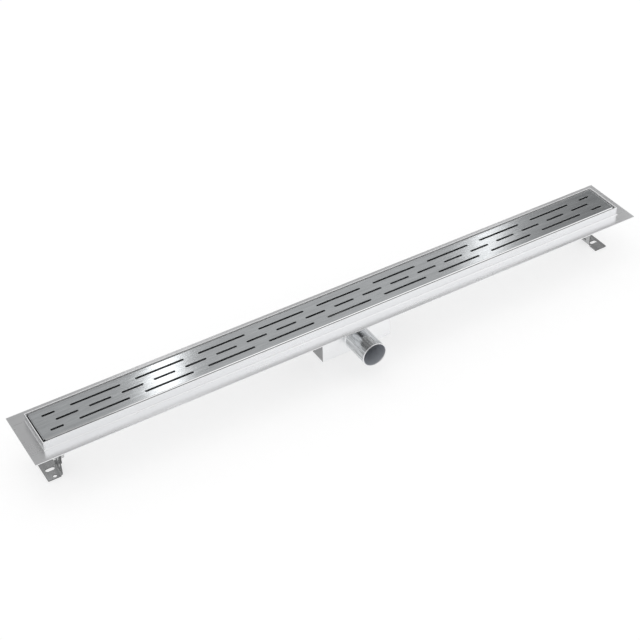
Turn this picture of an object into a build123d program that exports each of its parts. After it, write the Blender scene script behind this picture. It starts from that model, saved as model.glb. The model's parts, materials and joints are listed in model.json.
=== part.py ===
from build123d import *
import os

os.makedirs("parts", exist_ok=True)

# Linear shower drain of folded stainless sheet: a tiling flange with a raised frame, a shallow
# trough that falls to a sump with a side outlet, a slotted cover, a water trap and two feet.
# Millimetres. X runs along the drain, the outlet points to -Y, and Z = 0 is the subfloor. The
# origin is midway between the two floor-fixing slots of the feet.

# Raised frame and tiling flange
sheet = 1.2
frame_length = 1000
frame_width = 68
end_flange = 21
side_flange = 20
flange_height = 73
upstand = 14
flange_weld = 2.5

# Trough under the cover
depth_at_ends = 14
depth_at_sump = 18
trough_bend = 2

# Sump and outlet
sump_length = 120
sump_drop = 52
sump_bend = 2
sump_lap = 3
pipe_radius = 20
pipe_wall = 1.2
pipe_reach = 49.8
pipe_drop = 28
weld_bead = 1
mouth_chamfer = 0.3

# Slotted cover
cover_sheet = 1.5
cover_end_gap = 2
cover_side_gap = 2
cover_skirt = 9
cover_bend = 2
corner_notch = 2.5
slot_width = 4
slot_pitch = 100
row_pitch = 16
long_slot = 77
medium_slot = 34
short_slot = 20
slot_edge = 13

# Cover supports and their rubber pads
support_count = 4
support_inset = 45
support_width = 20
support_side_gap = 1
support_flange = 9
support_bend = 2
pad_height = 4
pad_wall = 1.5
pad_sole = 2

# Water trap: a welded weir, and a lift-out hood that dips into the water
weir_half_width = 23
weir_back = -8
weir_crest_drop = 24
weir_bend = 3
hood_half_width = 36
hood_back = 6
hood_drop = 4.5
hood_bend = 2
hood_sheet = 1.2
hood_passage = 7
hood_foot = 6
seal_lip = 1.2
seal_depth = 3
seal_cover = 2
handle_sheet = 1.2
handle_width = 8
handle_half_width = 18
handle_rise = 9
handle_bend = 3

# Feet: an angle bracket clamped to a hanger by one bolt through a long slot
bracket_sheet = 1.5
bracket_bend = 2
foot_inset = 23
foot_base = 23
foot_half_length = 20.7
foot_travel = 10
leg_width = 23
leg_offset = 7.5
leg_end = 3
base_corner = 1
relief = 2
floor_slot_length = 14
floor_slot_width = 7
spare_hole = 3
floor_slot_x = 12
base_hole_x = 11
base_hole_y = 15.7
spare_hole_height = 8
slide_gap = 0.2
clamp_height = 30
hanger_tab = 8
hanger_top = 20

# M8 clamp screws
bolt_radius = 4
bolt_clearance = 0.3
bolt_head = 5.3
bolt_flats = 13
bolt_end = 2.5
nut_height = 6.5
nut_play = 0.05
washer_radius = 8
washer_sheet = 1.6

# Levels and faces that several pieces share
rim_height = flange_height + upstand
wall_out = frame_width / 2
wall_in = wall_out - sheet
end_out = frame_length / 2
end_in = end_out - sheet
flange_under = flange_height - sheet
sump_in = sump_length / 2 - sheet
sump_under = flange_height - sump_drop
sump_floor = sump_under + sheet
sump_face = wall_out + sheet
window_top = flange_height - sump_lap
pipe_height = flange_height - pipe_drop
cover_top = rim_height
cover_under = cover_top - cover_sheet


def floor_height(x):
    """Height of the trough's floor at a distance x from the drain's middle."""
    run = max(0, abs(x) - sump_length / 2) / (end_in - sump_length / 2)
    return flange_height - depth_at_sump + run * (depth_at_sump - depth_at_ends)


def flange_edge(plane, inner, reach):
    """Section of the tiling flange and of the hollow weld that joins it to an upright sheet."""
    with BuildSketch(plane) as section:
        with BuildLine():
            hollow = CenterArc(
                (inner + flange_weld, flange_height + flange_weld), flange_weld, 180, 90
            )
            Polyline(
                hollow @ 1,
                (reach, flange_height),
                (reach, flange_under),
                (inner, flange_under),
                hollow @ 0,
            )
        make_face()
    return section.sketch


def flange_corner():
    """Corner of the flange, where the welds of a long side and an end meet in a mitre."""
    with BuildPart() as corner:
        side = flange_edge(Plane.YZ.offset(end_out), wall_out, wall_out + side_flange)
        extrude(side, amount=end_flange)
        end = flange_edge(Plane.XZ.offset(-wall_out), end_out, end_out + end_flange)
        extrude(end, amount=-side_flange, mode=Mode.INTERSECT)
    return corner.part


def trough_block(half_width, drop, bend):
    """Quarter of the trough as a block: a falling underside with a rounded long edge."""
    floor = floor_height(0) - drop
    with BuildPart() as block:
        with BuildSketch(Plane.XZ.offset(-half_width)):
            with BuildLine():
                Polyline(
                    (0, rim_height),
                    (0, floor),
                    (sump_length / 2, floor),
                    (end_in, floor_height(end_in) - drop),
                    (end_in, rim_height),
                    close=True,
                )
            make_face()
        extrude(amount=half_width)
        side = block.edges().filter_by_position(Axis.Y, half_width - 0.01, half_width + 0.01)
        fillet(side.sort_by(Axis.Z)[:2], bend)
    return block.part


def arch(plane, half_width, bottom, top, thickness, bend):
    """Section of a strip that goes up, across and down, given by its outside."""
    with BuildSketch(plane) as section:
        with BuildLine():
            FilletPolyline(
                (-half_width, bottom), (-half_width, top), (half_width, top), (half_width, bottom),
                radius=bend,
            )
            offset(amount=thickness, side=Side.RIGHT)
        make_face()
    return section.sketch


def save(piece, name):
    """Label a finished piece and write its file."""
    piece.part.label = name
    export_step(piece.part, f"parts/{name}.step")


# Walls and floor of the channel, folded from one sheet, with the long flanges welded to its sides.
# The walls and floor stop at the end plates, and the sheet is cut away over the sump.
with BuildPart() as channel_body:
    add(trough_block(wall_out, sheet, trough_bend + sheet))
    add(trough_block(wall_in, 0, trough_bend), mode=Mode.SUBTRACT)
    with BuildSketch(Plane.XY.offset(sump_under)):
        Rectangle(2 * sump_in, frame_width)
    extrude(amount=window_top - sump_under, mode=Mode.SUBTRACT)
    extrude(flange_edge(Plane.YZ, wall_out, wall_out + side_flange), amount=end_out)
    add(flange_corner())
    mirror(about=Plane.XZ)
    mirror(about=Plane.YZ)
save(channel_body, "channel_body")


def end_plate():
    """End of the channel at +X: the end wall up to the rim, with its flange welded on."""
    with BuildPart() as plate:
        with BuildSketch(Plane.YZ.offset(end_in)) as wall:
            with Locations((0, rim_height)):
                Rectangle(
                    frame_width, rim_height - floor_height(end_in) + sheet,
                    align=(Align.CENTER, Align.MAX),
                )
            fillet(wall.vertices().group_by(Axis.Y)[0], trough_bend + sheet)
        extrude(amount=sheet)
        extrude(
            flange_edge(Plane.XZ, end_out, end_out + end_flange),
            amount=wall_out, both=True,
        )
    return plate.part


for end, turn in (("right", 0), ("left", 180)):
    with BuildPart() as end_piece:
        add(end_plate(), rotation=(0, 0, turn))
    save(end_piece, f"end_plate_{end}")

# Folded sump under the middle, lapped outside the trough's walls, with the outlet's hole
with BuildPart() as sump_box:
    with BuildSketch(Plane.XY.offset(sump_under)):
        Rectangle(sump_length, 2 * sump_face)
    extrude(amount=flange_under - sump_under)
    fillet(sump_box.faces().sort_by(Axis.Z)[0].edges(), sump_bend)
    offset(amount=-sheet, openings=sump_box.faces().sort_by(Axis.Z)[-1])
    with BuildSketch(Plane.XY.offset(floor_height(0) - sheet)):
        Rectangle(sump_length, 2 * wall_out)
    extrude(amount=flange_under - floor_height(0) + sheet, mode=Mode.SUBTRACT)
    with BuildSketch(Plane.XZ.offset(wall_out)):
        with Locations((0, pipe_height)):
            Circle(pipe_radius - pipe_wall)
    extrude(amount=sheet, mode=Mode.SUBTRACT)
save(sump_box, "sump_box")

# Round outlet spigot, butted to the sump's face with a weld bead and eased at its mouth
with BuildPart() as outlet_pipe:
    mouth = -sump_face - pipe_reach
    bore = pipe_height + pipe_radius - pipe_wall
    crown = pipe_height + pipe_radius
    with BuildSketch(Plane.YZ):
        with BuildLine():
            Polyline(
                (-sump_face, bore),
                (mouth, bore),
                (mouth, crown),
                (-sump_face - weld_bead, crown),
                (-sump_face, crown + weld_bead),
                close=True,
            )
        make_face()
    revolve(axis=Axis((0, 0, pipe_height), (0, 1, 0)))
    chamfer(outlet_pipe.edges().filter_by(GeomType.CIRCLE).group_by(Axis.Y)[0], mouth_chamfer)
save(outlet_pipe, "outlet_pipe")

# Slotted cover: a tray turned upside down, its corners notched for folding
cover_length = 2 * (end_in - cover_end_gap)
cover_width = 2 * (wall_in - cover_side_gap)
slot_gap = slot_pitch - long_slot
long_reach = cover_length / 2 - slot_edge - short_slot - slot_gap - long_slot / 2
longs_each_way = int(long_reach // slot_pitch)
long_count = 2 * longs_each_way + 1
medium_count = 2 * long_count + 1
short_x = longs_each_way * slot_pitch + long_slot / 2 + slot_gap + short_slot / 2

with BuildPart() as cover_grate:
    with BuildSketch(Plane.XY.offset(cover_top - cover_skirt)):
        Rectangle(cover_length, cover_width)
    extrude(amount=cover_skirt)
    fillet(cover_grate.faces().sort_by(Axis.Z)[-1].edges(), cover_bend)
    offset(amount=-cover_sheet, openings=cover_grate.faces().sort_by(Axis.Z)[0])
    with BuildSketch(Plane.XY.offset(cover_top)):
        with GridLocations(cover_length, cover_width, 2, 2):
            Rectangle(2 * corner_notch, 2 * corner_notch)
    extrude(amount=-cover_skirt, mode=Mode.SUBTRACT)
    with BuildSketch(Plane.XY.offset(cover_top)):
        with GridLocations(slot_pitch, 2 * row_pitch, long_count, 2):
            SlotOverall(long_slot, slot_width)
        with GridLocations(slot_pitch / 2, row_pitch, medium_count, 1):
            SlotOverall(medium_slot, slot_width)
        with GridLocations(2 * short_x, 2 * row_pitch, 2, 2):
            SlotOverall(short_slot, slot_width)
    extrude(amount=-cover_sheet, mode=Mode.SUBTRACT)
save(cover_grate, "cover_grate")

# Pairs of bent legs welded under the cover beside its slots, with a rubber pad under each
support_reach = cover_length / 2 - support_inset
support_spacing = 2 * support_reach / (support_count - 1)
support_places = [number * support_spacing - support_reach for number in range(support_count)]
support_face = cover_width / 2 - cover_sheet - support_side_gap
support_middle = support_face - cover_sheet / 2

for number, place in enumerate(support_places, start=1):
    pad_under = floor_height(abs(place) + support_width / 2)
    with BuildPart() as cover_support:
        with BuildSketch(Plane.YZ.offset(place)):
            with BuildLine():
                FilletPolyline(
                    (support_face - support_flange, cover_under),
                    (support_face, cover_under),
                    (support_face, pad_under + pad_sole),
                    radius=support_bend,
                )
                offset(amount=cover_sheet, side=Side.RIGHT)
            make_face()
        extrude(amount=support_width / 2, both=True)
        mirror(about=Plane.XZ)
    save(cover_support, f"cover_support_{number}")

with BuildPart() as support_pads:
    for place in support_places:
        pad_under = floor_height(abs(place) + support_width / 2)
        with BuildSketch(Plane.XY.offset(pad_under)):
            with Locations((place, 0)):
                with GridLocations(1, 2 * support_middle, 1, 2):
                    Rectangle(support_width, cover_sheet + 2 * pad_wall)
        extrude(amount=pad_height)
        with BuildSketch(Plane.XY.offset(pad_under + pad_sole)):
            with Locations((place, 0)):
                with GridLocations(1, 2 * support_middle, 1, 2):
                    Rectangle(support_width, cover_sheet)
        extrude(amount=pad_height - pad_sole, mode=Mode.SUBTRACT)
save(support_pads, "support_pads")

# Weir around the outlet, which holds the water level in the sump
with BuildPart() as trap_weir:
    section = arch(
        Plane.XY.offset(sump_floor), weir_half_width, -wall_out, weir_back, sheet, weir_bend
    )
    extrude(section, amount=flange_height - weir_crest_drop - sump_floor)
    with BuildSketch(Plane.XY.offset(sump_floor)):
        with Locations((0, -wall_out)):
            Rectangle(2 * weir_half_width, 2 * (sump_bend - sheet))
    extrude(amount=sump_bend - sheet, mode=Mode.SUBTRACT)
save(trap_weir, "trap_weir")

# Lift-out hood over the weir: it stands on four feet and the water passes under its skirt
hood_top = flange_height - hood_drop
hood_front = seal_depth - wall_out
hood_middle = (hood_front + hood_back) / 2

with BuildPart() as trap_hood:
    with BuildSketch(Plane.XY.offset(sump_floor)):
        with Locations((0, hood_middle)):
            Rectangle(2 * hood_half_width, hood_back - hood_front)
    extrude(amount=hood_top - sump_floor)
    open_faces = [trap_hood.faces().sort_by(Axis.Z)[0], trap_hood.faces().sort_by(Axis.Y)[0]]
    open_edges = open_faces[0].edges() + open_faces[1].edges()
    fillet([edge for edge in trap_hood.edges() if edge not in open_edges], hood_bend)
    offset(
        amount=-hood_sheet,
        openings=[trap_hood.faces().sort_by(Axis.Z)[0], trap_hood.faces().sort_by(Axis.Y)[0]],
    )
    with BuildSketch(Plane.XY.offset(sump_floor)):
        with Locations((0, hood_middle)):
            Rectangle(2 * hood_half_width, hood_back - hood_front - 2 * hood_foot)
            Rectangle(2 * (hood_half_width - hood_foot), hood_back - hood_front)
    extrude(amount=hood_passage, mode=Mode.SUBTRACT)
save(trap_hood, "trap_hood")

# Rubber lip on the hood's open edges, pressed against the sump's face around the outlet
with BuildPart() as trap_seal:
    section = arch(
        Plane.XZ.offset(wall_out),
        hood_half_width + seal_lip, sump_floor + sump_bend, hood_top + seal_lip,
        hood_sheet + 2 * seal_lip, hood_bend + seal_lip,
    )
    extrude(section, amount=-seal_depth - seal_cover)
    groove = arch(
        Plane.XZ.offset(-hood_front), hood_half_width, sump_floor, hood_top, hood_sheet, hood_bend
    )
    extrude(groove, amount=-seal_cover, mode=Mode.SUBTRACT)
save(trap_seal, "trap_seal")

# Strap handle for lifting the hood out
with BuildPart() as trap_handle:
    section = arch(
        Plane.XZ.offset(-hood_middle - handle_width / 2),
        handle_half_width, hood_top, hood_top + handle_rise, handle_sheet, handle_bend,
    )
    extrude(section, amount=handle_width)
save(trap_handle, "trap_handle")

# Feet and their clamps at +X; the other end has the same pieces turned half way round
leg_face = end_out - foot_inset
tab_face = leg_face - slide_gap
slot_half = foot_travel + bolt_radius + bolt_clearance
leg_height = clamp_height + slot_half + leg_end
fold_outside = bracket_bend + bracket_sheet


def hanger():
    """Angle welded under the trough, with the clamp bolt's hole in its tab."""
    with BuildPart() as angle:
        with BuildSketch(Plane.XZ.offset(-leg_offset)):
            with BuildLine():
                top = floor_height(tab_face - hanger_top) - sheet
                FilletPolyline(
                    (tab_face - hanger_top, top),
                    (tab_face, top),
                    (tab_face, clamp_height - hanger_tab),
                    radius=fold_outside,
                )
                offset(amount=bracket_sheet, side=Side.RIGHT)
            make_face()
        extrude(amount=leg_width / 2, both=True)
        with BuildSketch(Plane.YZ.offset(tab_face)):
            with Locations((leg_offset, clamp_height)):
                Circle(bolt_radius + bolt_clearance)
        extrude(amount=-bracket_sheet, mode=Mode.SUBTRACT)
    return angle.part


def foot_bracket():
    """Foot with a slotted base on the subfloor and an upright leg with the clamp slot."""
    with BuildPart() as bracket:
        with BuildSketch() as base:
            with Locations((leg_face, 0)):
                Rectangle(foot_base, 2 * foot_half_length, align=(Align.MIN, Align.CENTER))
            chamfer(base.vertices(), base_corner)
            with Locations((leg_face, leg_offset)):
                Rectangle(
                    fold_outside, leg_width + 2 * relief,
                    align=(Align.MIN, Align.CENTER), mode=Mode.SUBTRACT,
                )
        extrude(amount=bracket_sheet)
        with BuildSketch(Plane.XZ.offset(-leg_offset)):
            with BuildLine():
                FilletPolyline(
                    (leg_face + fold_outside + relief, 0),
                    (leg_face, 0),
                    (leg_face, leg_height),
                    radius=fold_outside,
                )
                offset(amount=bracket_sheet, side=Side.RIGHT)
            make_face()
        extrude(amount=leg_width / 2, both=True)
        fillet(bracket.edges().filter_by(Axis.X).group_by(Axis.Z)[-1], bracket_bend)
        with BuildSketch(Plane.XY):
            with Locations((leg_face + floor_slot_x, 0)):
                SlotOverall(floor_slot_length, floor_slot_width)
            with Locations((leg_face + base_hole_x, base_hole_y)):
                Circle(spare_hole)
        extrude(amount=bracket_sheet, mode=Mode.SUBTRACT)
        with BuildSketch(Plane.YZ.offset(leg_face)):
            with Locations((leg_offset, clamp_height)):
                SlotOverall(2 * slot_half, 2 * (bolt_radius + bolt_clearance), rotation=90)
            with Locations((leg_offset, spare_hole_height)):
                Circle(spare_hole)
        extrude(amount=bracket_sheet, mode=Mode.SUBTRACT)
    return bracket.part


for end, turn in (("right", 0), ("left", 180)):
    with BuildPart() as hanger_piece:
        add(hanger(), rotation=(0, 0, turn))
    save(hanger_piece, f"hanger_{end}")
    with BuildPart() as foot:
        add(foot_bracket(), rotation=(0, 0, turn))
    save(foot, f"foot_{end}")

# Clamp screws: a washer on the leg, the bolt through both sheets, and a nut behind the tab
washer_face = leg_face + bracket_sheet + slide_gap
head_face = washer_face + washer_sheet
nut_face = tab_face - bracket_sheet


def ring_or_hex(face, reach, bore, radius=0, flats=0):
    """Round or six-sided plate on the clamp's axis, from a face out to its reach."""
    with BuildPart() as plate:
        with BuildSketch(Plane.YZ.offset(face)):
            with Locations((leg_offset, clamp_height)):
                if flats:
                    RegularPolygon(flats / 2, 6, major_radius=False)
                else:
                    Circle(radius)
                if bore:
                    Circle(bore, mode=Mode.SUBTRACT)
        extrude(amount=reach)
    return plate.part


with BuildPart() as clamp_washers:
    for turn in (0, 180):
        washer = ring_or_hex(washer_face, washer_sheet, bolt_radius + bolt_clearance, washer_radius)
        add(washer, rotation=(0, 0, turn))
save(clamp_washers, "clamp_washers")

with BuildPart() as clamp_bolts:
    for turn in (0, 180):
        head = ring_or_hex(head_face, bolt_head, 0, flats=bolt_flats)
        add(head, rotation=(0, 0, turn))
        shank = ring_or_hex(head_face, nut_face - nut_height - bolt_end - head_face, 0, bolt_radius)
        add(shank, rotation=(0, 0, turn))
save(clamp_bolts, "clamp_bolts")

with BuildPart() as clamp_nuts:
    for turn in (0, 180):
        nut = ring_or_hex(nut_face, -nut_height, bolt_radius + nut_play, flats=bolt_flats)
        add(nut, rotation=(0, 0, turn))
save(clamp_nuts, "clamp_nuts")
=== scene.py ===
import json
import math
from collections import namedtuple
import bpy
from mathutils import Matrix, Vector


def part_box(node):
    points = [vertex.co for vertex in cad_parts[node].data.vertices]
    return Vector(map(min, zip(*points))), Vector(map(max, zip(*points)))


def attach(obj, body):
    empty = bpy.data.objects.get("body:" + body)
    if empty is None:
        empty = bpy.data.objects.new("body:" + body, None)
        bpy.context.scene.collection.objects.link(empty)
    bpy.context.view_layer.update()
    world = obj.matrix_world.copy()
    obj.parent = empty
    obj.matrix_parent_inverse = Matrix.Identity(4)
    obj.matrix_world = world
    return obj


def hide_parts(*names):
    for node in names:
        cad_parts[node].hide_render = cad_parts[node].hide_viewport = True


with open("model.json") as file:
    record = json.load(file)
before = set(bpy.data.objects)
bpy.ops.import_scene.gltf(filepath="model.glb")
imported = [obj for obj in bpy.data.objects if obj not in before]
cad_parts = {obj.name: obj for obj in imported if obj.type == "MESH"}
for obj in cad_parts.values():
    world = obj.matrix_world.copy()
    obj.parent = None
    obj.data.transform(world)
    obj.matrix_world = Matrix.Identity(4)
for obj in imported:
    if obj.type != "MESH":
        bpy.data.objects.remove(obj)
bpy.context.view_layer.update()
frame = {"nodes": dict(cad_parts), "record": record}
nodes = frame["nodes"]
scene = bpy.context.scene

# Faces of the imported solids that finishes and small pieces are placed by, in metres

# The trough's underside is rounded to a micrometre, because the number of weld ripples follows it.
mounts ={mount["name"]: mount for mount in frame["record"]["mounts"]}
channel_low, channel_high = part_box("channel_body")
plate_low, plate_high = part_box("end_plate_right")
sump_low, sump_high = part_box("sump_box")
sheet = 0.0012
rim_top = channel_high[2]
trough_under = round(channel_low[2], 6)
wall_out = plate_high[1]
wall_in = wall_out - sheet
end_in = plate_low[0]
end_out = end_in + sheet
flange_end = plate_high[0]
flange_top = mounts["tile_flange"]["pos_m"][2]
sump_face = sump_low[1]
sump_side = sump_high[0]
pipe_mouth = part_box("outlet_pipe")[0][1]
pipe_height = mounts["outlet_spigot"]["pos_m"][2]
pipe_radius = mounts["outlet_spigot"]["dims"]["r_mm"] / 1000
pipe_bore = pipe_radius - sheet


# Node helpers

class Graph:
    """Small wrapper round a node tree: add a node with its inputs, and link."""

    def __init__(self, tree):
        self.tree = tree
        tree.nodes.clear()

    def add(self, kind, inputs=None, **settings):
        node = self.tree.nodes.new(kind)
        for key, value in settings.items():
            setattr(node, key, value)
        for key, value in (inputs or {}).items():
            self.put(node.inputs[key], value)
        return node

    def put(self, socket, value):
        if isinstance(value, bpy.types.NodeSocket):
            self.tree.links.new(value, socket)
        else:
            socket.default_value = value

    def math(self, operation, *values, clamp=False):
        node = self.add("ShaderNodeMath", operation=operation, use_clamp=clamp)
        for socket, value in zip(node.inputs, values):
            self.put(socket, value)
        return node.outputs[0]

    def times(self, first, second):
        return self.math("MULTIPLY", first, second)

    def size_of(self, value):
        return self.math("ABSOLUTE", value)

    def vector(self, operation, *values):
        node = self.add("ShaderNodeVectorMath", operation=operation)
        for socket, value in zip(node.inputs, values):
            self.put(socket, value)
        return node.outputs[0]

    def ramp(self, value, low, high, to_low=0.0, to_high=1.0, smooth=True):
        """Value that goes from to_low at low to to_high at high, and stays there."""
        node = self.add(
            "ShaderNodeMapRange",
            {"Value": value, "From Min": low, "From Max": high, "To Min": to_low, "To Max": to_high},
            interpolation_type="SMOOTHSTEP" if smooth else "LINEAR",
        )
        return node.outputs[0]

    def noise(self, place, scale, detail=2.0, offset=(0, 0, 0)):
        spot = self.add("ShaderNodeMapping", {"Vector": place, "Location": offset, "Scale": scale})
        node = self.add("ShaderNodeTexNoise", {"Vector": spot.outputs[0], "Scale": 1.0, "Detail": detail})
        return node.outputs[0]

    def swing(self, noise, amount, value=0.0):
        """Value that a noise moves up and down about its middle."""
        return self.math("MULTIPLY_ADD", self.math("SUBTRACT", noise, 0.5), amount, value)

    def mix(self, factor, first, second, kind="MIX"):
        node = self.add("ShaderNodeMix", data_type="RGBA", blend_type=kind)
        self.put(node.inputs[0], factor)
        self.put(node.inputs[6], first)
        self.put(node.inputs[7], second)
        return node.outputs[2]

    def grey(self, value):
        node = self.add("ShaderNodeCombineColor", {"Red": value, "Green": value, "Blue": value})
        return node.outputs[0]

    def tinted(self, value, tint):
        """Colour of a tint at a brightness."""
        return self.mix(1.0, self.grey(value), (*tint, 1.0), "MULTIPLY")

    def split(self, vector):
        return self.add("ShaderNodeSeparateXYZ", {"Vector": vector}).outputs


def material(name):
    """New material and the graph of its empty node tree."""
    made = bpy.data.materials.new(name)
    made.use_nodes = True
    return made, Graph(made.node_tree)


def show(g, shader):
    """Link a shader to the material's output."""
    out = g.add("ShaderNodeOutputMaterial")
    g.put(out.inputs["Surface"], shader.outputs[0])


# Masks for the places where a finish changes and where shade and highlights are painted

# A mask is 1 there and 0 elsewhere. Its places are in metres, and the way that a face looks is a
# component of its normal, from -1 to 1.

def within_walls(g, x, y):
    """1 inside the channel's walls and on their inner faces."""
    reach, past = 0.0001, 0.0005
    across = g.ramp(g.size_of(y), wall_in + reach, wall_in + past, 1.0, 0.0)
    along = g.ramp(g.size_of(x), end_in + reach, end_in + past, 1.0, 0.0)
    return g.times(across, along)


def sump_side_shade(g, place, normal):
    """1 on the outer faces of the sump's two sides, painted darker as shade for the shadowed floor under the
    drain that they mirror.
    """
    under, skin, clear, past = 0.0008, 0.0004, 0.001, 0.002
    reach = g.size_of(g.split(place)[0])
    face = g.times(
        g.ramp(reach, sump_side - under, sump_side - skin),
        g.ramp(reach, sump_side + clear, sump_side + past, 1.0, 0.0))
    return g.times(face, g.ramp(g.size_of(g.split(normal)[0]), 0.4, 0.8))


def trough_shade(g, place, normal):
    """1 on the faces inside the trough and the sump, some millimetres below the rim, painted dark as the
    shade inside them.
    """
    depth, lip = 0.009, 0.005
    x, y, z = g.split(place)
    below = g.ramp(z, rim_top - depth, rim_top - lip, 1.0, 0.0)
    upward = g.ramp(g.split(normal)[2], -0.6, -0.3)
    inner = g.times(upward, g.math("SUBTRACT", 1.0, sump_side_shade(g, place, normal)))
    return g.times(inner, g.times(below, within_walls(g, x, y)))


def ground_rim(g, place, normal):
    """1 on the rim's ground top and the first millimetres inside it."""
    lip, above, skin, face = 0.005, 0.004, 0.0004, 0.0002
    x, y, z = g.split(place)
    top = g.times(g.ramp(z, rim_top - skin, rim_top - face), g.ramp(g.split(normal)[2], 0.4, 0.6))
    inner = g.times(g.ramp(z, rim_top - lip, rim_top - above), within_walls(g, x, y))
    return g.math("MAXIMUM", top, inner)


def bend_highlight(g, place, normal):
    """1 on the cover's bends, painted lighter as a highlight."""
    nx, ny, nz = g.split(normal)
    side = g.ramp(g.size_of(ny), 0.05, 0.25)
    return g.times(side, g.ramp(nz, 0.5, 0.65))


def dull_bends(g, place, normal):
    """1 on the cover's bends at its left end, where the painted highlight gives way to a darker, duller
    tone.
    """
    dull, bright = -0.44, -0.34
    return g.times(bend_highlight(g, place, normal), g.ramp(g.split(place)[0], dull, bright, 1.0, 0.0))


def skirt_shade(g, place, normal):
    """1 on the cover's upright edges, down in the gap, painted near black as the shade in the gap."""
    deep, shallow = 0.0012, 0.0008
    low = g.ramp(g.split(place)[2], rim_top - deep, rim_top - shallow, 1.0, 0.0)
    return g.times(low, g.ramp(g.size_of(g.split(normal)[2]), 0.5, 0.65, 1.0, 0.0))


def bore_shade(g, place, normal):
    """1 on the inner face of the outlet, painted a darker, bluish matte as the shade inside the tube."""
    reach, past = 0.0002, 0.0005
    x, y, z = g.split(place)
    up = g.math("SUBTRACT", z, pipe_height)
    radius = g.math("SQRT", g.math("ADD", g.times(up, up), g.times(x, x)))
    return g.ramp(radius, pipe_bore + reach, pipe_bore + past, 1.0, 0.0)


def mouth_highlight(g, place, normal):
    """1 on the outlet's cut and eased mouth, painted near white as a highlight ring."""
    eased, past = 0.0008, 0.0014
    return g.ramp(g.split(place)[1], pipe_mouth + eased, pipe_mouth + past, 1.0, 0.0)


def cut_edges(g, place, normal):
    """1 on the cut edges of the bent brackets: their sides, and the ends of their bases."""
    base_under, base_over = 0.0012, 0.0016
    bend_end, base_start = 0.4815, 0.4825
    x, y, z = g.split(place)
    nx, ny, nz = g.split(normal)
    side = g.ramp(g.size_of(ny), 0.4, 0.6)
    low = g.ramp(z, base_under, base_over, 1.0, 0.0)
    clear = g.ramp(g.size_of(x), bend_end, base_start)
    end = g.times(g.ramp(g.size_of(nx), 0.4, 0.6), g.times(low, clear))
    return g.math("MAXIMUM", side, end)


# Finishes

def stretch(axis, along, across):
    """Noise scales per metre for lines that run along one axis."""
    return tuple(along if letter == axis else across for letter in "XYZ")


# Noise scales per metre, along and across the brush, and offsets that keep the noises apart
hair_scale = (30, 1500)
line_scale, line_offset = (55, 520), (5.3, 0.7, 2.9)
band_scale, band_offset = (4, 230), (3.1, 1.7, 8.3)
wave_scale, wave_offset = (22, 110), (1.9, 6.2, 4.4)
cloud_scale, cloud_offset = (16, 22, 22), (7.0, 2.0, 5.0)
hair_share = 0.8
hair_relief = 0.00001
bend_softening = 0.0004

plain = (0.985, 0.99, 1.0)
bluish = (0.95, 0.99, 1.06)
Area = namedtuple("Area", "mask tone tint oxide rougher", defaults=(plain, 0.0, 0.0))


def steel(name, tone, tint, brush, roughness, streaks, clouds, tilt, sway=0.0, spread=0.12,
          anisotropy=0.0, areas=()):
    """Brushed or rolled stainless sheet.

    Lines run along the brush axis in three widths. They carry the colour, the roughness and a
    slight tilt of the surface along the brush, and sway tilts it across. Each area has a mask, and
    the tone, tint, matte share taken from the metal and added roughness where the mask is 1. Some
    areas paint shade or a highlight this way.
    """
    made, g = material(name)
    coords = g.add("ShaderNodeTexCoord").outputs
    place = coords["Object"]
    hair = g.noise(place, stretch(brush, *hair_scale))
    line = g.noise(place, stretch(brush, *line_scale), offset=line_offset)
    band = g.noise(place, stretch(brush, *band_scale), 3.0, band_offset)
    cloud = g.noise(place, cloud_scale, 3.0, cloud_offset)
    wave = g.noise(place, stretch(brush, *wave_scale), offset=wave_offset)
    value = g.swing(band, streaks, tone)
    value = g.swing(line, streaks, value)
    value = g.swing(hair, streaks * hair_share, value)
    value = g.swing(cloud, clouds, value)
    rough = g.swing(band, spread, roughness)
    rough = g.swing(cloud, spread, rough)
    color = g.tinted(value, tint)
    metal = 1.0
    for area in areas:
        mask = area.mask(g, place, coords["Normal"])
        color = g.mix(mask, color, g.tinted(g.swing(cloud, clouds, area.tone), area.tint))
        rough = g.math("MULTIPLY_ADD", mask, area.rougher, rough, clamp=True)
        metal = g.math("MULTIPLY_ADD", mask, -area.oxide, metal)
    soft = g.add("ShaderNodeBevel", {"Radius": bend_softening}, samples=4)
    lean = g.add("ShaderNodeCombineXYZ", {
        letter: g.swing(line, tilt) if letter == brush else g.swing(wave, sway)
        for letter in "XYZ"
    })
    normal = g.vector("NORMALIZE", g.vector("ADD", soft.outputs[0], lean.outputs[0]))
    bump = g.add("ShaderNodeBump", {
        "Strength": 1.0, "Distance": hair_relief, "Height": hair, "Normal": normal,
    })
    shader = g.add("ShaderNodeBsdfPrincipled", {
        "Base Color": color, "Metallic": metal, "Roughness": rough, "Normal": bump.outputs[0],
        "Anisotropic": anisotropy,
    })
    if anisotropy:
        across = g.add("ShaderNodeCombineXYZ", {"Y" if brush == "X" else "X": 1.0})
        g.put(shader.inputs["Tangent"], across.outputs[0])
    show(g, shader)
    return made


def rubber(name):
    """Matte black rubber with a fine grain."""
    grain_scale, wear_scale, wear_offset = (900, 900, 900), (60, 60, 60), (1.0, 4.0, 2.0)
    dark, worn = (0.014, 0.014, 0.015, 1), (0.035, 0.035, 0.036, 1)
    grain_relief = 0.0002
    made, g = material(name)
    place = g.add("ShaderNodeTexCoord").outputs["Object"]
    grain = g.noise(place, grain_scale, 3.0)
    wear = g.noise(place, wear_scale, 3.0, wear_offset)
    color = g.mix(g.ramp(wear, 0.3, 0.7), dark, worn)
    bump = g.add("ShaderNodeBump", {"Strength": 0.6, "Distance": grain_relief, "Height": grain})
    shader = g.add("ShaderNodeBsdfPrincipled", {
        "Base Color": color, "Roughness": g.ramp(grain, 0.2, 0.8, 0.55, 0.8),
        "Normal": bump.outputs[0],
    })
    show(g, shader)
    return made


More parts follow.
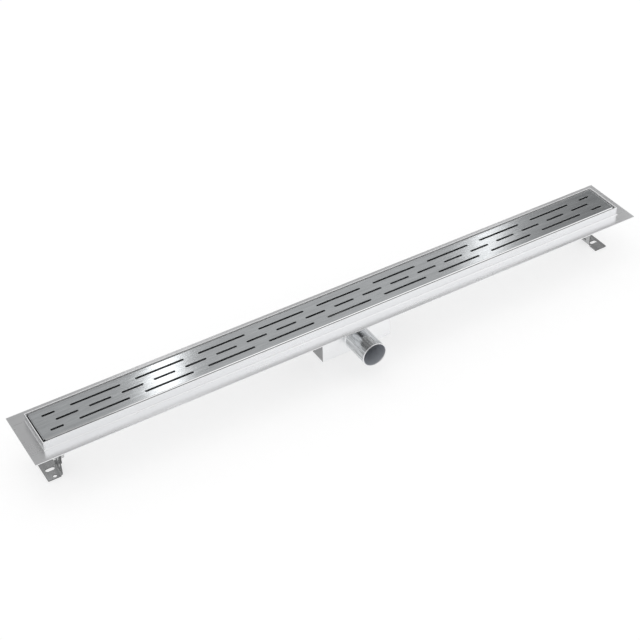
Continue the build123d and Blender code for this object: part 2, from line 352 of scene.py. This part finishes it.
steels = {
    "cover_steel": dict(
        tone=0.86, tint=(0.96, 0.99, 1.01), brush="X", roughness=0.14, streaks=0.24, clouds=0.06,
        tilt=0.012, spread=0.04, anisotropy=0.8,
        # Painted highlight on the bends, giving way to a darker, duller tone at the left end.
        areas=[Area(bend_highlight, tone=0.98),
               Area(dull_bends, tone=0.50, oxide=0.3, rougher=0.3),
               # Painted shade: near black on the skirts, down in the gap.
               Area(skirt_shade, tone=0.06, oxide=0.8, rougher=0.3)]),
    "channel_steel": dict(
        tone=0.95, tint=plain, brush="X", roughness=0.29, streaks=0.03, clouds=0.03, tilt=0.01,
        # Painted shade: a dark bluish tone inside the trough and the sump.
        areas=[Area(trough_shade, tone=0.24, tint=bluish, oxide=0.75, rougher=0.2),
               Area(ground_rim, tone=0.94, oxide=0.7, rougher=0.2),
               # Painted shade: a darker tone on the sump's sides for the shadowed floor that they mirror.
               Area(sump_side_shade, tone=0.46, oxide=0.75, rougher=0.2)]),
    "pipe_steel": dict(
        # The strong streaks and clouds of tone are partly the tube's brushing and partly painted reflections
        # of the dark and light things round it.
        tone=0.61, tint=(0.97, 0.995, 1.01), brush="Y", roughness=0.23, streaks=0.66, clouds=0.30,
        tilt=0.05, sway=0.70,
        # Painted shade inside the bore, and a painted highlight on the mouth.
        areas=[Area(bore_shade, tone=0.56, tint=bluish, oxide=0.75, rougher=0.2),
               Area(mouth_highlight, tone=0.95, rougher=0.1)]),
    "trap_steel": dict(
        tone=0.60, tint=(0.99, 1.0, 1.0), brush="X", roughness=0.30, streaks=0.08, clouds=0.06,
        tilt=0.01),
    "bracket_steel": dict(
        tone=0.60, tint=(0.985, 0.995, 1.0), brush="Y", roughness=0.24, streaks=0.10, clouds=0.14,
        tilt=0.02, sway=0.05, areas=[Area(cut_edges, tone=0.16, oxide=0.75, rougher=0.2)]),
    "screw_steel": dict(
        tone=0.62, tint=(0.99, 1.0, 1.0), brush="X", roughness=0.25, streaks=0.06, clouds=0.08,
        tilt=0.01),
}
finishes = {name: steel(name, **values) for name, values in steels.items()}
finishes["black_rubber"] = rubber("black_rubber")
slot_of = {part["node"]: part["material_slot"] for part in frame["record"]["subparts"]}
for name, node in nodes.items():
    node.data.materials.clear()
    node.data.materials.append(finishes[slot_of[name]])


# New mesh pieces

def piece(name, points, faces, slot):
    """New mesh piece on the channel's body, with the finish of a record slot."""
    mesh = bpy.data.meshes.new(name)
    mesh.from_pydata([tuple(point) for point in points], [], faces)
    mesh.shade_smooth()
    mesh.materials.append(finishes[slot])
    made = bpy.data.objects.new(name, mesh)
    scene.collection.objects.link(made)
    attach(made, "channel")
    return made


def tube(rings, closed):
    """Points and faces of a tube through rings of points, capped unless it closes on itself."""
    points, faces = [], []
    sides = len(rings[0])
    for ring in rings:
        points.extend(ring)
    count = len(rings)
    for row in range(count if closed else count - 1):
        for side in range(sides):
            here = row * sides
            there = (row + 1) % count * sides
            after = (side + 1) % sides
            faces.append((here + side, here + after, there + after, there + side))
    if not closed:
        faces.append(tuple(reversed(range(sides))))
        faces.append(tuple(range((count - 1) * sides, count * sides)))
    return points, faces


def joined(parts):
    """Points and faces of several meshes as one."""
    points, faces = [], []
    for more, skin in parts:
        faces.extend(tuple(corner + len(points) for corner in face) for face in skin)
        points.extend(more)
    return points, faces


# Weld beads

ripple_length = 0.0014
ripple_steps = 4
bead_sides = 8
bead_sink = 0.00005
taper_rate = 8
taper_end = 0.15


def ripple(turns, depth):
    """Thickness of a bead after a number of ripples, from 1 down by the ripples' depth."""
    return 1 - depth + depth * abs(math.cos(math.pi * turns))


def bead_ring(point, side, up, width, height, corner):
    """Cross-section of a bead: a low mound on a face, or a quarter round in a corner."""
    ring = []
    for step in range(bead_sides):
        turn = step / (bead_sides - 1) * (math.pi / 2 if corner else math.pi)
        ring.append(point + side * width * math.cos(turn) + up * (height * math.sin(turn) - bead_sink))
    if corner:
        ring.append(point - (side + up) * bead_sink)
    return ring


def straight_bead(start, end, side, up, width, height, corner=False):
    """Points and faces of a rippled bead between two points, tapered at its ends."""
    start, end, side, up = Vector(start), Vector(end), Vector(side), Vector(up)
    length = (end - start).length
    count = max(2, int(length / ripple_length * ripple_steps))
    rings = []
    for step in range(count + 1):
        run = step / count
        taper = min(1.0, taper_rate * run + taper_end, taper_rate * (1 - run) + taper_end)
        swell = taper * ripple(run * length / ripple_length, 0.18)
        rings.append(bead_ring(start.lerp(end, run), side, up, width * swell, height * swell, corner))
    return tube(rings, False)


def flange_seams():
    """Nearly flush seams between the long flanges and the end flanges."""
    width, height = 0.0006, 0.00006
    start, end = end_out + 0.003, flange_end - 0.0002
    return joined(
        straight_bead((way * start, edge * wall_out, flange_top), (way * end, edge * wall_out, flange_top),
                      (0, 1, 0), (0, 0, 1), width, height)
        for way in (-1, 1) for edge in (-1, 1))


def sump_beads():
    """Beads in the corners between the sump's sides and the trough's underside and walls."""
    low_bead, upright_bead = 0.0016, 0.0012
    reach, start = 0.029, trough_under + 0.004
    low = [
        straight_bead((way * sump_side, -reach, trough_under), (way * sump_side, reach, trough_under),
                      (way, 0, 0), (0, 0, -1), low_bead, low_bead, corner=True)
        for way in (-1, 1)
    ]
    upright = [
        straight_bead((way * sump_side, edge * wall_out, start),
                      (way * sump_side, edge * wall_out, flange_top - sheet),
                      (way, 0, 0), (0, edge, 0), upright_bead, upright_bead, corner=True)
        for way in (-1, 1) for edge in (-1, 1)
    ]
    return joined(low + upright)


def hanger_beads():
    """Beads along both edges of each hanger's top tab, under the trough."""
    bead, drop = 0.0014, 0.0016
    inner_share, outer_share = 1.004, 0.99
    beads = []
    for hanger in ("hanger_left", "hanger_right"):
        low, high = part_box(hanger)
        top = high[2] - drop
        inner, outer = sorted((low[0], high[0]), key=abs)
        for edge, way in ((low[1], -1), (high[1], 1)):
            beads.append(straight_bead((inner * inner_share, edge, top), (outer * outer_share, edge, top),
                                       (0, way, 0), (0, 0, 1), bead, bead, corner=True))
    return joined(beads)


def outlet_bead():
    """Bead in the corner between the outlet and the sump's front."""
    bead = 0.0015
    steps = int(2 * math.pi * pipe_radius / ripple_length * ripple_steps)
    rings = []
    for step in range(steps):
        turn = 2 * math.pi * step / steps
        out = Vector((math.cos(turn), 0, math.sin(turn)))
        foot = Vector((0, sump_face, pipe_height)) + out * pipe_radius
        size = bead * ripple(step / ripple_steps, 0.15)
        rings.append(bead_ring(foot, out, Vector((0, -1, 0)), size, size, True))
    return tube(rings, True)


piece("flange_seam_welds", *flange_seams(), "trap_steel")
piece("sump_welds", *sump_beads(), "channel_steel")
piece("hanger_welds", *hanger_beads(), "bracket_steel")
piece("outlet_weld", *outlet_bead(), "channel_steel")


# Clamp screws, along X through the hangers and the feet's slots

screw_sides = 48
screw_radius = 0.004
thread_pitch = 0.00125
thread_depth = 0.0006
thread_steps = 8
tail_point = 0.0008
bolt_tail = 0.014
hex_flats = 0.013
face_share = 0.95
hex_face = hex_flats / 2 * face_share
hex_bevel = math.tan(math.radians(30))
nut_height = 0.0065
clamp_y = 0.0075
clamp_z = 0.030
head_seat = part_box("clamp_washers")[1][0]
head_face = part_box("clamp_bolts")[1][0]
nut_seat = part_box("clamp_nuts")[1][0]


def hex_reach(turn):
    """Distance from the axis to the side of a hexagon that has a corner at angle 0."""
    return hex_flats / 2 / math.cos(turn % (math.pi / 3) - math.pi / 6)


def hex_rings(height):
    """Rings (radius and height by angle) of a hexagon with its far corners bevelled."""
    reach = [hex_reach(2 * math.pi * step / screw_sides) for step in range(screw_sides)]
    return [
        [(radius, 0.0) for radius in reach],
        [(radius, height - max(0.0, radius - hex_face) * hex_bevel) for radius in reach],
        [(hex_face, height)] * screw_sides,
    ]


def thread_rings(length):
    """Rings of a threaded shank, pointed at its end."""
    steps = int(length / thread_pitch * thread_steps)
    rings = []
    for step in range(steps + 1):
        height = length * step / steps
        point = max(0.0, height - (length - tail_point))
        ring = []
        for side in range(screw_sides):
            phase = (height / thread_pitch + side / screw_sides) % 1
            depth = thread_depth * abs(2 * phase - 1)
            ring.append((screw_radius - max(depth, point), height))
        rings.append(ring)
    return rings


def lathe(rings, seat, way, y, z):
    """Points and faces of stacked rings round an axis along X, from a seat at x."""
    circles = [
        [Vector((seat + way * height,
                 y + reach * math.cos(2 * math.pi * side / screw_sides),
                 z + reach * math.sin(2 * math.pi * side / screw_sides)))
         for side, (reach, height) in enumerate(ring)]
        for ring in rings
    ]
    return tube(circles, False)


bolts, nuts = [], []
for way in (-1, 1):
    bolts.append(lathe(hex_rings(head_face - head_seat), way * head_seat, way, way * clamp_y, clamp_z))
    bolts.append(lathe(thread_rings(bolt_tail), way * head_seat, -way, way * clamp_y, clamp_z))
    nuts.append(lathe(hex_rings(nut_height), way * nut_seat, -way, way * clamp_y, clamp_z))
bolt_piece = piece("clamp_bolts_detail", *joined(bolts), "screw_steel")
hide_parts("clamp_bolts")
nut_piece = piece("clamp_nuts_detail", *joined(nuts), "screw_steel")
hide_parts("clamp_nuts")


# Floor and sky: white to the camera, and a studio in what the steel mirrors

def rays(g):
    """Light Path's camera, glossy and transmission rays together, and the camera's alone."""
    path = g.add("ShaderNodeLightPath")
    camera = path.outputs["Is Camera Ray"]
    glossy = path.outputs["Is Glossy Ray"]
    clear = path.outputs["Is Transmission Ray"]
    return g.math("MAXIMUM", camera, g.math("MAXIMUM", glossy, clear)), camera


def make_floor():
    """Large floor under the feet, seen white with the object's shadow on it."""
    reach, drop = 30, 0.0003
    mesh = bpy.data.meshes.new("floor")
    mesh.from_pydata(
        [(-reach, -reach, 0), (reach, -reach, 0), (reach, reach, 0), (-reach, reach, 0)], [], [(0, 1, 2, 3)])
    floor = bpy.data.objects.new("floor", mesh)
    scene.collection.objects.link(floor)
    floor.location.z = -drop
    mesh.materials.append(floor_paint())


def floor_paint():
    """Matte paint that takes shadows, with a glow that the steel mirrors, faded behind the drain as a
    painted shadow under it.
    """
    lit, lit_seen = 0.46, 0.48
    glow_front, shadow_glow_behind, glow_seen = 0.58, 0.16, 0.565
    front, behind = -0.04, 0.08
    made, g = material("floor_paint")
    seen, camera_ray = rays(g)
    shade = g.ramp(camera_ray, 0.0, 1.0, lit, lit_seen, smooth=False)
    y = g.split(g.add("ShaderNodeTexCoord").outputs["Object"])[1]
    # Painted shadow: the glow that the steel mirrors fades from the front to behind the drain.
    mirrored = g.ramp(y, front, behind, glow_front, shadow_glow_behind)
    glow = g.times(seen, g.ramp(camera_ray, 0.0, 1.0, mirrored, glow_seen, smooth=False))
    matte = g.add("ShaderNodeBsdfDiffuse", {"Color": g.grey(shade)})
    light = g.add("ShaderNodeEmission", {"Strength": glow})
    total = g.add("ShaderNodeAddShader")
    g.put(total.inputs[0], matte.outputs[0])
    g.put(total.inputs[1], light.outputs[0])
    show(g, total)
    return made


def make_sky():
    """White sky to the camera. Mirrored, it has dim panels behind, on the left, low and overhead.

    Fades are spans of the direction's components. The panel behind the drain changes by side, its
    way east for each way north: darker at both ends of what the cover mirrors, and bright beyond
    the right end.
    """
    plain_sky = 0.42
    left_sky, right_sky, middle_sky, beyond_sky = 0.20, 0.12, 0.34, 0.85
    low_share, top_share, overhead_share = 0.82, 0.35, 0.8
    ambient = 0.90
    eastward_fade, northward_fade, ahead_fade = (-0.45, 0.33), (0.0, 0.42), (0.25, 0.5)
    horizon_fade, low_fade, raised_fade = (0.02, 0.16), (0.27, 0.40), (0.38, 0.55)
    top_fade, overhead_fade = (0.86, 0.97), (0.925, 0.975)
    left_fade, middle_fade = (-0.5, 0.2), (0.24, 0.42)
    right_fade, beyond_fade = (0.80, 0.96), (1.03, 1.16)
    least_north = 0.05
    world = bpy.data.worlds.new("studio")
    scene.world = world
    world.use_nodes = True
    g = Graph(world.node_tree)
    seen, camera_ray = rays(g)
    east, north, up = g.split(g.add("ShaderNodeTexCoord").outputs["Generated"])

    behind = g.times(g.ramp(north, *northward_fade), g.ramp(up, *top_fade, 1.0, top_share))
    left = g.ramp(east, *eastward_fade, 1.0, 0.0)
    low = g.ramp(up, *low_fade, low_share, 0.0)
    overhead = g.ramp(up, *overhead_fade, 0.0, overhead_share)
    panels = g.math("MAXIMUM", g.math("MAXIMUM", behind, overhead), g.math("MAXIMUM", left, low))

    side = g.math("DIVIDE", east, g.math("MAXIMUM", north, least_north))
    left_end = g.math("MINIMUM", g.ramp(side, *left_fade, left_sky, plain_sky),
                      g.ramp(side, *middle_fade, middle_sky, plain_sky))
    right_end = g.ramp(side, *right_fade, plain_sky, right_sky)
    beyond = g.ramp(side, *beyond_fade, 0.0, beyond_sky)
    across = g.math("MAXIMUM", g.math("MINIMUM", left_end, right_end), beyond)
    ahead = g.times(g.ramp(north, *ahead_fade), g.ramp(up, *raised_fade))
    dim = g.math("MULTIPLY_ADD", ahead, g.math("SUBTRACT", across, plain_sky), plain_sky)

    dark = g.times(g.times(panels, g.ramp(up, *horizon_fade)), g.math("SUBTRACT", 1.0, dim))
    mirrored = g.math("MAXIMUM", camera_ray, g.math("SUBTRACT", 1.0, dark))
    strength = g.math("ADD", g.times(seen, mirrored), g.times(g.math("SUBTRACT", 1.0, seen), ambient))
    sky = g.add("ShaderNodeBackground", {"Color": (1, 1, 1, 1), "Strength": strength})
    out = g.add("ShaderNodeOutputWorld")
    g.put(out.inputs["Surface"], sky.outputs[0])


make_floor()
make_sky()


# Lamps: two strips that the cover mirrors as its bright patches, and a key that nothing mirrors

def lamp(name, spot, aim, size, glow):
    """Soft rectangular lamp, given by its brightness as a face."""
    data = bpy.data.lights.new(name, "AREA")
    data.shape = "RECTANGLE"
    data.size, data.size_y = size
    data.energy = glow * math.pi * size[0] * size[1]
    item = bpy.data.objects.new(name, data)
    scene.collection.objects.link(item)
    item.location = spot
    item.rotation_euler = (Vector(aim) - Vector(spot)).to_track_quat("-Z", "Y").to_euler()
    item.visible_camera = False
    return item


cover_height = 0.0865
lamp("window_strip", spot=(0.252, 1.394, 1.41), aim=(-0.3, 0, cover_height), size=(0.094, 0.40), glow=1.5)
lamp("soft_strip", spot=(1.264, 1.257, 1.279), aim=(0.275, 0, cover_height), size=(0.075, 0.40), glow=1.2)
key = lamp("key", spot=(-0.2, 0.6, 3.3), aim=(0, 0, 0), size=(1.6, 1.6), glow=0.6)
key.visible_glossy = False


# Camera, from the fit to the photograph

camera_place = (-0.8613, -1.4171, 1.4312)
look = Vector((0.3849, 0.6661, -0.6388)).normalized()
right = Vector((0.8547, -0.5183, -0.0255))
right = (right - look * right.dot(look)).normalized()
above = right.cross(look)
lens = bpy.data.cameras.new("camera")
lens.lens = 80.03
lens.sensor_width = 36
lens.clip_start = 0.05
lens.clip_end = 100
camera = bpy.data.objects.new("camera", lens)
scene.collection.objects.link(camera)
camera.matrix_world = Matrix((
    (right.x, above.x, -look.x, camera_place[0]),
    (right.y, above.y, -look.y, camera_place[1]),
    (right.z, above.z, -look.z, camera_place[2]),
    (0, 0, 0, 1),
))
scene.camera = camera
scene.view_settings.view_transform = "Standard"
